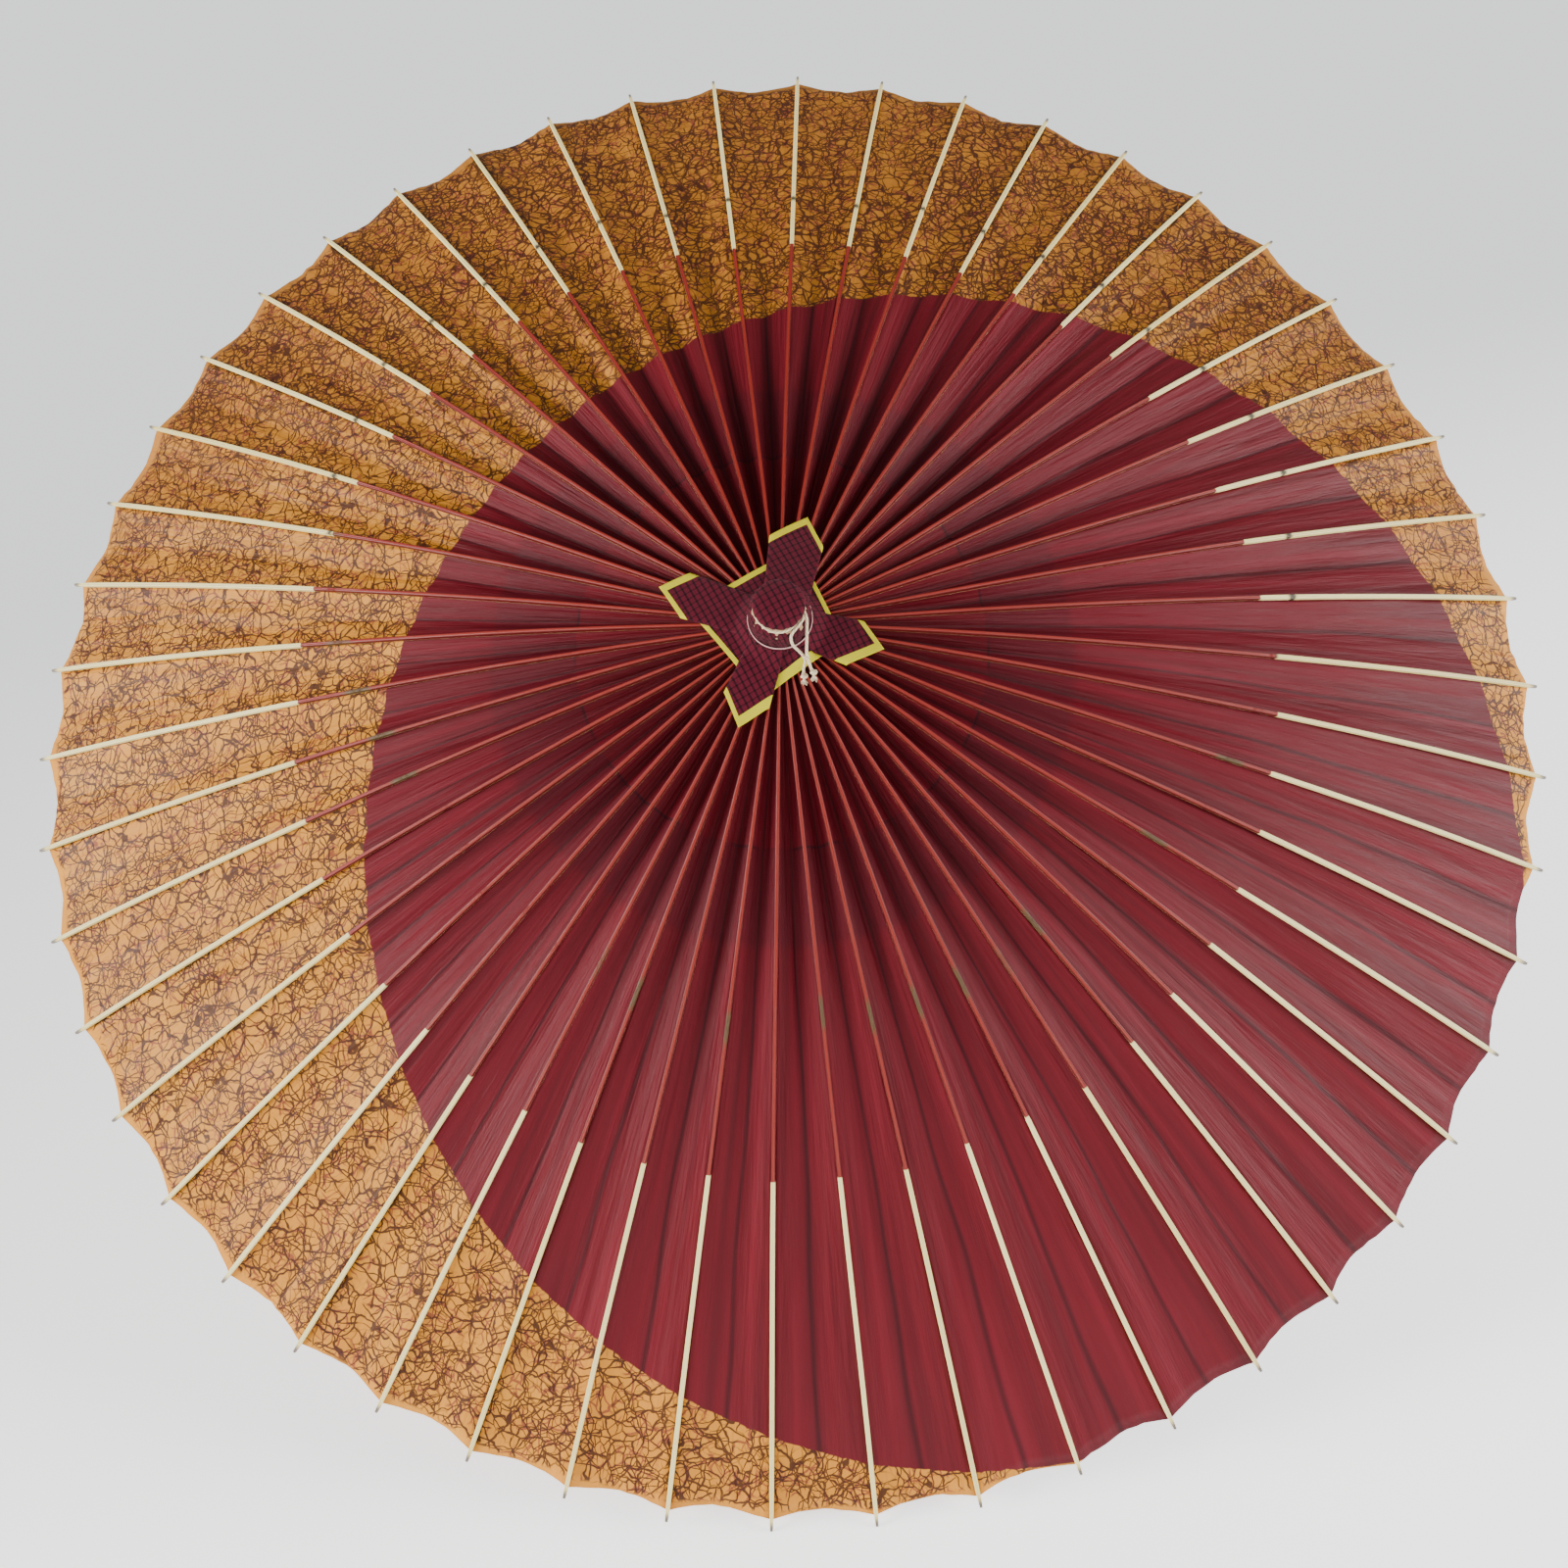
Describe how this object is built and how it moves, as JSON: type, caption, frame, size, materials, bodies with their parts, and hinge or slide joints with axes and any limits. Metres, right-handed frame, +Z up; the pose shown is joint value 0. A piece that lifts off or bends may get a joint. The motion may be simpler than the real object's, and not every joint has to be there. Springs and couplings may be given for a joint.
{
  "type": "oil paper umbrella",
  "caption": "Open traditional paper umbrella with bamboo ribs outside lacquer-red and ochre oiled paper, struts, sliding runner, shaft and tied cloth cap.",
  "frame": {"origin": "middle of the footprint of the open umbrella, on the floor it rests on", "axes": "+X across the canopy, to the right seen from the front; +Z up; the outside of the canopy faces -Y and up, the handle end rests on the floor at +Y"},
  "size_m": [1.1012, 0.7838, 0.7722],
  "materials": {
    "oiled_paper": "satin oiled paper, crimson circle on patterned ochre",
    "rib_bamboo": "split bamboo, inner part vermilion lacquer, outer part natural",
    "strut_bamboo": "split bamboo, natural",
    "shaft_bamboo": "smoked bamboo culm, waxed",
    "turned_wood": "turned snowbell wood, oiled",
    "horn": "polished black horn",
    "checked_cloth": "dark wine checked cotton with yellow border",
    "cotton_cord": "cream braided cotton"
  },
  "bodies": {
    "root": {"shaft": "shaft_bamboo", "head_hub": "turned_wood", "ferrule": "horn", "canopy_paper": "oiled_paper", "head_cap": "checked_cloth", "cap_cord": "cotton_cord"},
    "rib_01": {"rib_01": "rib_bamboo"},
    "strut_01": {"strut_01": "strut_bamboo"},
    "rib_02": {"rib_02": "rib_bamboo"},
    "strut_02": {"strut_02": "strut_bamboo"},
    "rib_03": {"rib_03": "rib_bamboo"},
    "strut_03": {"strut_03": "strut_bamboo"},
    "rib_04": {"rib_04": "rib_bamboo"},
    "strut_04": {"strut_04": "strut_bamboo"},
    "rib_05": {"rib_05": "rib_bamboo"},
    "strut_05": {"strut_05": "strut_bamboo"},
    "rib_06": {"rib_06": "rib_bamboo"},
    "strut_06": {"strut_06": "strut_bamboo"},
    "rib_07": {"rib_07": "rib_bamboo"},
    "strut_07": {"strut_07": "strut_bamboo"},
    "rib_08": {"rib_08": "rib_bamboo"},
    "strut_08": {"strut_08": "strut_bamboo"},
    "rib_09": {"rib_09": "rib_bamboo"},
    "strut_09": {"strut_09": "strut_bamboo"},
    "rib_10": {"rib_10": "rib_bamboo"},
    "strut_10": {"strut_10": "strut_bamboo"},
    "rib_11": {"rib_11": "rib_bamboo"},
    "strut_11": {"strut_11": "strut_bamboo"},
    "rib_12": {"rib_12": "rib_bamboo"},
    "strut_12": {"strut_12": "strut_bamboo"},
    "rib_13": {"rib_13": "rib_bamboo"},
    "strut_13": {"strut_13": "strut_bamboo"},
    "rib_14": {"rib_14": "rib_bamboo"},
    "strut_14": {"strut_14": "strut_bamboo"},
    "rib_15": {"rib_15": "rib_bamboo"},
    "strut_15": {"strut_15": "strut_bamboo"},
    "rib_16": {"rib_16": "rib_bamboo"},
    "strut_16": {"strut_16": "strut_bamboo"},
    "rib_17": {"rib_17": "rib_bamboo"},
    "strut_17": {"strut_17": "strut_bamboo"},
    "rib_18": {"rib_18": "rib_bamboo"},
    "strut_18": {"strut_18": "strut_bamboo"},
    "rib_19": {"rib_19": "rib_bamboo"},
    "strut_19": {"strut_19": "strut_bamboo"},
    "rib_20": {"rib_20": "rib_bamboo"},
    "strut_20": {"strut_20": "strut_bamboo"},
    "rib_21": {"rib_21": "rib_bamboo"},
    "strut_21": {"strut_21": "strut_bamboo"},
    "rib_22": {"rib_22": "rib_bamboo"},
    "strut_22": {"strut_22": "strut_bamboo"},
    "rib_23": {"rib_23": "rib_bamboo"},
    "strut_23": {"strut_23": "strut_bamboo"},
    "rib_24": {"rib_24": "rib_bamboo"},
    "strut_24": {"strut_24": "strut_bamboo"},
    "rib_25": {"rib_25": "rib_bamboo"},
    "strut_25": {"strut_25": "strut_bamboo"},
    "rib_26": {"rib_26": "rib_bamboo"},
    "strut_26": {"strut_26": "strut_bamboo"},
    "runner": {"runner": "turned_wood"},
    "catch_spring": {"catch_spring": "rib_bamboo"}
  },
  "joints": [
    {"name": "fold", "type": "hinge", "parent": "root", "child": "rib_01", "pos_m": [0.00113, -0.15834, 0.52123], "axis": [0.998, 0.0447, 0.0441], "range_deg": [0, 66.15], "deforming": ["canopy_paper"]},
    {"name": "strut_hinge_01", "type": "hinge", "parent": "rib_01", "child": "strut_01", "pos_m": [0.01019, -0.22746, 0.38627], "axis": [0.998, 0.0447, 0.0441], "range_deg": [-132.29, 0]},
    {"name": "runner_slide", "type": "hinge", "parent": "strut_01", "child": "runner", "pos_m": [0.00113, -0.09149, 0.45338], "axis": [0.998, 0.0447, 0.0441], "range_deg": [0, 66.15]},
    {"name": "rib_hinge_02", "type": "hinge", "parent": "root", "child": "rib_02", "pos_m": [0.00556, -0.15774, 0.52182], "axis": [0.9511, 0.2201, 0.2169], "range_deg": [0, 66.15]},
    {"name": "strut_hinge_02", "type": "hinge", "parent": "rib_02", "child": "strut_02", "pos_m": [0.05013, -0.22203, 0.39162], "axis": [0.9511, 0.2201, 0.2169], "range_deg": [-132.29, 0]},
    {"name": "rib_hinge_03", "type": "hinge", "parent": "root", "child": "rib_03", "pos_m": [0.00965, -0.15637, 0.52317], "axis": [0.8443, 0.3817, 0.3761], "range_deg": [0, 66.15]},
    {"name": "strut_hinge_03", "type": "hinge", "parent": "rib_03", "child": "strut_03", "pos_m": [0.08693, -0.2097, 0.40377], "axis": [0.8443, 0.3817, 0.3761], "range_deg": [-132.29, 0]},
    {"name": "rib_hinge_04", "type": "hinge", "parent": "root", "child": "rib_04", "pos_m": [0.01312, -0.15432, 0.52519], "axis": [0.6845, 0.5193, 0.5116], "range_deg": [0, 66.15]},
    {"name": "strut_hinge_04", "type": "hinge", "parent": "rib_04", "child": "strut_04", "pos_m": [0.11827, -0.19123, 0.42197], "axis": [0.6845, 0.5193, 0.5116], "range_deg": [-132.29, 0]},
    {"name": "rib_hinge_05", "type": "hinge", "parent": "root", "child": "rib_05", "pos_m": [0.01577, -0.15172, 0.52775], "axis": [0.4818, 0.6242, 0.615], "range_deg": [0, 66.15]},
    {"name": "strut_hinge_05", "type": "hinge", "parent": "rib_05", "child": "strut_05", "pos_m": [0.14217, -0.16779, 0.44506], "axis": [0.4818, 0.6242, 0.615], "range_deg": [-132.29, 0]},
    {"name": "rib_hinge_06", "type": "hinge", "parent": "root", "child": "rib_06", "pos_m": [0.01743, -0.14873, 0.5307], "axis": [0.2487, 0.69, 0.6798], "range_deg": [0, 66.15]},
    {"name": "strut_hinge_06", "type": "hinge", "parent": "rib_06", "child": "strut_06", "pos_m": [0.15714, -0.14086, 0.47159], "axis": [0.2487, 0.69, 0.6798], "range_deg": [-132.29, 0]},
    {"name": "rib_hinge_07", "type": "hinge", "parent": "root", "child": "rib_07", "pos_m": [0.018, -0.14554, 0.53384], "axis": [0, 0.7123, 0.7018], "range_deg": [0, 66.15]},
    {"name": "strut_hinge_07", "type": "hinge", "parent": "rib_07", "child": "strut_07", "pos_m": [0.16224, -0.11212, 0.49991], "axis": [0, 0.7123, 0.7018], "range_deg": [-132.29, 0]},
    {"name": "rib_hinge_08", "type": "hinge", "parent": "root", "child": "rib_08", "pos_m": [0.01743, -0.14235, 0.53698], "axis": [-0.2487, 0.69, 0.6798], "range_deg": [0, 66.15]},
    {"name": "strut_hinge_08", "type": "hinge", "parent": "rib_08", "child": "strut_08", "pos_m": [0.15714, -0.08337, 0.52823], "axis": [-0.2487, 0.69, 0.6798], "range_deg": [-132.29, 0]},
    {"name": "rib_hinge_09", "type": "hinge", "parent": "root", "child": "rib_09", "pos_m": [0.01577, -0.13936, 0.53993], "axis": [-0.4818, 0.6242, 0.615], "range_deg": [0, 66.15]},
    {"name": "strut_hinge_09", "type": "hinge", "parent": "rib_09", "child": "strut_09", "pos_m": [0.14217, -0.05644, 0.55477], "axis": [-0.4818, 0.6242, 0.615], "range_deg": [-132.29, 0]},
    {"name": "rib_hinge_10", "type": "hinge", "parent": "root", "child": "rib_10", "pos_m": [0.01312, -0.13676, 0.54249], "axis": [-0.6845, 0.5193, 0.5116], "range_deg": [0, 66.15]},
    {"name": "strut_hinge_10", "type": "hinge", "parent": "rib_10", "child": "strut_10", "pos_m": [0.11827, -0.033, 0.57786], "axis": [-0.6845, 0.5193, 0.5116], "range_deg": [-132.29, 0]},
    {"name": "rib_hinge_11", "type": "hinge", "parent": "root", "child": "rib_11", "pos_m": [0.00965, -0.13472, 0.54451], "axis": [-0.8443, 0.3817, 0.3761], "range_deg": [0, 66.15]},
    {"name": "strut_hinge_11", "type": "hinge", "parent": "rib_11", "child": "strut_11", "pos_m": [0.08693, -0.01453, 0.59605], "axis": [-0.8443, 0.3817, 0.3761], "range_deg": [-132.29, 0]},
    {"name": "rib_hinge_12", "type": "hinge", "parent": "root", "child": "rib_12", "pos_m": [0.00556, -0.13335, 0.54585], "axis": [-0.9511, 0.2201, 0.2169], "range_deg": [0, 66.15]},
    {"name": "strut_hinge_12", "type": "hinge", "parent": "rib_12", "child": "strut_12", "pos_m": [0.05013, -0.0022, 0.6082], "axis": [-0.9511, 0.2201, 0.2169], "range_deg": [-132.29, 0]},
    {"name": "rib_hinge_13", "type": "hinge", "parent": "root", "child": "rib_13", "pos_m": [0.00113, -0.13275, 0.54645], "axis": [-0.998, 0.0447, 0.0441], "range_deg": [0, 66.15]},
    {"name": "strut_hinge_13", "type": "hinge", "parent": "rib_13", "child": "strut_13", "pos_m": [0.01019, 0.00323, 0.61355], "axis": [-0.998, 0.0447, 0.0441], "range_deg": [-132.29, 0]},
    {"name": "rib_hinge_14", "type": "hinge", "parent": "root", "child": "rib_14", "pos_m": [-0.00113, -0.13275, 0.54645], "axis": [-0.998, -0.0447, -0.0441], "range_deg": [0, 66.15]},
    {"name": "strut_hinge_14", "type": "hinge", "parent": "rib_14", "child": "strut_14", "pos_m": [-0.01019, 0.00323, 0.61355], "axis": [-0.998, -0.0447, -0.0441], "range_deg": [-132.29, 0]},
    {"name": "rib_hinge_15", "type": "hinge", "parent": "root", "child": "rib_15", "pos_m": [-0.00556, -0.13335, 0.54585], "axis": [-0.9511, -0.2201, -0.2169], "range_deg": [0, 66.15]},
    {"name": "strut_hinge_15", "type": "hinge", "parent": "rib_15", "child": "strut_15", "pos_m": [-0.05013, -0.0022, 0.6082], "axis": [-0.9511, -0.2201, -0.2169], "range_deg": [-132.29, 0]},
    {"name": "rib_hinge_16", "type": "hinge", "parent": "root", "child": "rib_16", "pos_m": [-0.00965, -0.13472, 0.54451], "axis": [-0.8443, -0.3817, -0.3761], "range_deg": [0, 66.15]},
    {"name": "strut_hinge_16", "type": "hinge", "parent": "rib_16", "child": "strut_16", "pos_m": [-0.08693, -0.01453, 0.59605], "axis": [-0.8443, -0.3817, -0.3761], "range_deg": [-132.29, 0]},
    {"name": "rib_hinge_17", "type": "hinge", "parent": "root", "child": "rib_17", "pos_m": [-0.01312, -0.13676, 0.54249], "axis": [-0.6845, -0.5193, -0.5116], "range_deg": [0, 66.15]},
    {"name": "strut_hinge_17", "type": "hinge", "parent": "rib_17", "child": "strut_17", "pos_m": [-0.11827, -0.033, 0.57786], "axis": [-0.6845, -0.5193, -0.5116], "range_deg": [-132.29, 0]},
    {"name": "rib_hinge_18", "type": "hinge", "parent": "root", "child": "rib_18", "pos_m": [-0.01577, -0.13936, 0.53993], "axis": [-0.4818, -0.6242, -0.615], "range_deg": [0, 66.15]},
    {"name": "strut_hinge_18", "type": "hinge", "parent": "rib_18", "child": "strut_18", "pos_m": [-0.14217, -0.05644, 0.55477], "axis": [-0.4818, -0.6242, -0.615], "range_deg": [-132.29, 0]},
    {"name": "rib_hinge_19", "type": "hinge", "parent": "root", "child": "rib_19", "pos_m": [-0.01743, -0.14235, 0.53698], "axis": [-0.2487, -0.69, -0.6798], "range_deg": [0, 66.15]},
    {"name": "strut_hinge_19", "type": "hinge", "parent": "rib_19", "child": "strut_19", "pos_m": [-0.15714, -0.08337, 0.52823], "axis": [-0.2487, -0.69, -0.6798], "range_deg": [-132.29, 0]},
    {"name": "rib_hinge_20", "type": "hinge", "parent": "root", "child": "rib_20", "pos_m": [-0.018, -0.14554, 0.53384], "axis": [0, -0.7123, -0.7018], "range_deg": [0, 66.15]},
    {"name": "strut_hinge_20", "type": "hinge", "parent": "rib_20", "child": "strut_20", "pos_m": [-0.16224, -0.11212, 0.49991], "axis": [0, -0.7123, -0.7018], "range_deg": [-132.29, 0]},
    {"name": "rib_hinge_21", "type": "hinge", "parent": "root", "child": "rib_21", "pos_m": [-0.01743, -0.14873, 0.5307], "axis": [0.2487, -0.69, -0.6798], "range_deg": [0, 66.15]},
    {"name": "strut_hinge_21", "type": "hinge", "parent": "rib_21", "child": "strut_21", "pos_m": [-0.15714, -0.14086, 0.47159], "axis": [0.2487, -0.69, -0.6798], "range_deg": [-132.29, 0]},
    {"name": "rib_hinge_22", "type": "hinge", "parent": "root", "child": "rib_22", "pos_m": [-0.01577, -0.15172, 0.52775], "axis": [0.4818, -0.6242, -0.615], "range_deg": [0, 66.15]},
    {"name": "strut_hinge_22", "type": "hinge", "parent": "rib_22", "child": "strut_22", "pos_m": [-0.14217, -0.16779, 0.44506], "axis": [0.4818, -0.6242, -0.615], "range_deg": [-132.29, 0]},
    {"name": "rib_hinge_23", "type": "hinge", "parent": "root", "child": "rib_23", "pos_m": [-0.01312, -0.15432, 0.52519], "axis": [0.6845, -0.5193, -0.5116], "range_deg": [0, 66.15]},
    {"name": "strut_hinge_23", "type": "hinge", "parent": "rib_23", "child": "strut_23", "pos_m": [-0.11827, -0.19123, 0.42197], "axis": [0.6845, -0.5193, -0.5116], "range_deg": [-132.29, 0]},
    {"name": "rib_hinge_24", "type": "hinge", "parent": "root", "child": "rib_24", "pos_m": [-0.00965, -0.15637, 0.52317], "axis": [0.8443, -0.3817, -0.3761], "range_deg": [0, 66.15]},
    {"name": "strut_hinge_24", "type": "hinge", "parent": "rib_24", "child": "strut_24", "pos_m": [-0.08693, -0.2097, 0.40377], "axis": [0.8443, -0.3817, -0.3761], "range_deg": [-132.29, 0]},
    {"name": "rib_hinge_25", "type": "hinge", "parent": "root", "child": "rib_25", "pos_m": [-0.00556, -0.15774, 0.52182], "axis": [0.9511, -0.2201, -0.2169], "range_deg": [0, 66.15]},
    {"name": "strut_hinge_25", "type": "hinge", "parent": "rib_25", "child": "strut_25", "pos_m": [-0.05013, -0.22203, 0.39162], "axis": [0.9511, -0.2201, -0.2169], "range_deg": [-132.29, 0]},
    {"name": "rib_hinge_26", "type": "hinge", "parent": "root", "child": "rib_26", "pos_m": [-0.00113, -0.15834, 0.52123], "axis": [0.998, -0.0447, -0.0441], "range_deg": [0, 66.15]},
    {"name": "strut_hinge_26", "type": "hinge", "parent": "rib_26", "child": "strut_26", "pos_m": [-0.01019, -0.22746, 0.38627], "axis": [0.998, -0.0447, -0.0441], "range_deg": [-132.29, 0]},
    {"name": "catch_press", "type": "hinge", "parent": "root", "child": "catch_spring", "pos_m": [0, 0.01198, 0.38721], "axis": [1, 0, 0], "range_deg": [0, 4], "stiffness_Nm_per_rad": 0.5, "springref_deg": -5.73}
  ],
  "couplings": [
    {"joint": "strut_hinge_01", "follows": "fold", "ratio": -2},
    {"joint": "runner_slide", "follows": "fold", "ratio": 1},
    {"joint": "rib_hinge_02", "follows": "fold", "ratio": 1},
    {"joint": "strut_hinge_02", "follows": "fold", "ratio": -2},
    {"joint": "rib_hinge_03", "follows": "fold", "ratio": 1},
    {"joint": "strut_hinge_03", "follows": "fold", "ratio": -2},
    {"joint": "rib_hinge_04", "follows": "fold", "ratio": 1},
    {"joint": "strut_hinge_04", "follows": "fold", "ratio": -2},
    {"joint": "rib_hinge_05", "follows": "fold", "ratio": 1},
    {"joint": "strut_hinge_05", "follows": "fold", "ratio": -2},
    {"joint": "rib_hinge_06", "follows": "fold", "ratio": 1},
    {"joint": "strut_hinge_06", "follows": "fold", "ratio": -2},
    {"joint": "rib_hinge_07", "follows": "fold", "ratio": 1},
    {"joint": "strut_hinge_07", "follows": "fold", "ratio": -2},
    {"joint": "rib_hinge_08", "follows": "fold", "ratio": 1},
    {"joint": "strut_hinge_08", "follows": "fold", "ratio": -2},
    {"joint": "rib_hinge_09", "follows": "fold", "ratio": 1},
    {"joint": "strut_hinge_09", "follows": "fold", "ratio": -2},
    {"joint": "rib_hinge_10", "follows": "fold", "ratio": 1},
    {"joint": "strut_hinge_10", "follows": "fold", "ratio": -2},
    {"joint": "rib_hinge_11", "follows": "fold", "ratio": 1},
    {"joint": "strut_hinge_11", "follows": "fold", "ratio": -2},
    {"joint": "rib_hinge_12", "follows": "fold", "ratio": 1},
    {"joint": "strut_hinge_12", "follows": "fold", "ratio": -2},
    {"joint": "rib_hinge_13", "follows": "fold", "ratio": 1},
    {"joint": "strut_hinge_13", "follows": "fold", "ratio": -2},
    {"joint": "rib_hinge_14", "follows": "fold", "ratio": 1},
    {"joint": "strut_hinge_14", "follows": "fold", "ratio": -2},
    {"joint": "rib_hinge_15", "follows": "fold", "ratio": 1},
    {"joint": "strut_hinge_15", "follows": "fold", "ratio": -2},
    {"joint": "rib_hinge_16", "follows": "fold", "ratio": 1},
    {"joint": "strut_hinge_16", "follows": "fold", "ratio": -2},
    {"joint": "rib_hinge_17", "follows": "fold", "ratio": 1},
    {"joint": "strut_hinge_17", "follows": "fold", "ratio": -2},
    {"joint": "rib_hinge_18", "follows": "fold", "ratio": 1},
    {"joint": "strut_hinge_18", "follows": "fold", "ratio": -2},
    {"joint": "rib_hinge_19", "follows": "fold", "ratio": 1},
    {"joint": "strut_hinge_19", "follows": "fold", "ratio": -2},
    {"joint": "rib_hinge_20", "follows": "fold", "ratio": 1},
    {"joint": "strut_hinge_20", "follows": "fold", "ratio": -2},
    {"joint": "rib_hinge_21", "follows": "fold", "ratio": 1},
    {"joint": "strut_hinge_21", "follows": "fold", "ratio": -2},
    {"joint": "rib_hinge_22", "follows": "fold", "ratio": 1},
    {"joint": "strut_hinge_22", "follows": "fold", "ratio": -2},
    {"joint": "rib_hinge_23", "follows": "fold", "ratio": 1},
    {"joint": "strut_hinge_23", "follows": "fold", "ratio": -2},
    {"joint": "rib_hinge_24", "follows": "fold", "ratio": 1},
    {"joint": "strut_hinge_24", "follows": "fold", "ratio": -2},
    {"joint": "rib_hinge_25", "follows": "fold", "ratio": 1},
    {"joint": "strut_hinge_25", "follows": "fold", "ratio": -2},
    {"joint": "rib_hinge_26", "follows": "fold", "ratio": 1},
    {"joint": "strut_hinge_26", "follows": "fold", "ratio": -2}
  ]
}
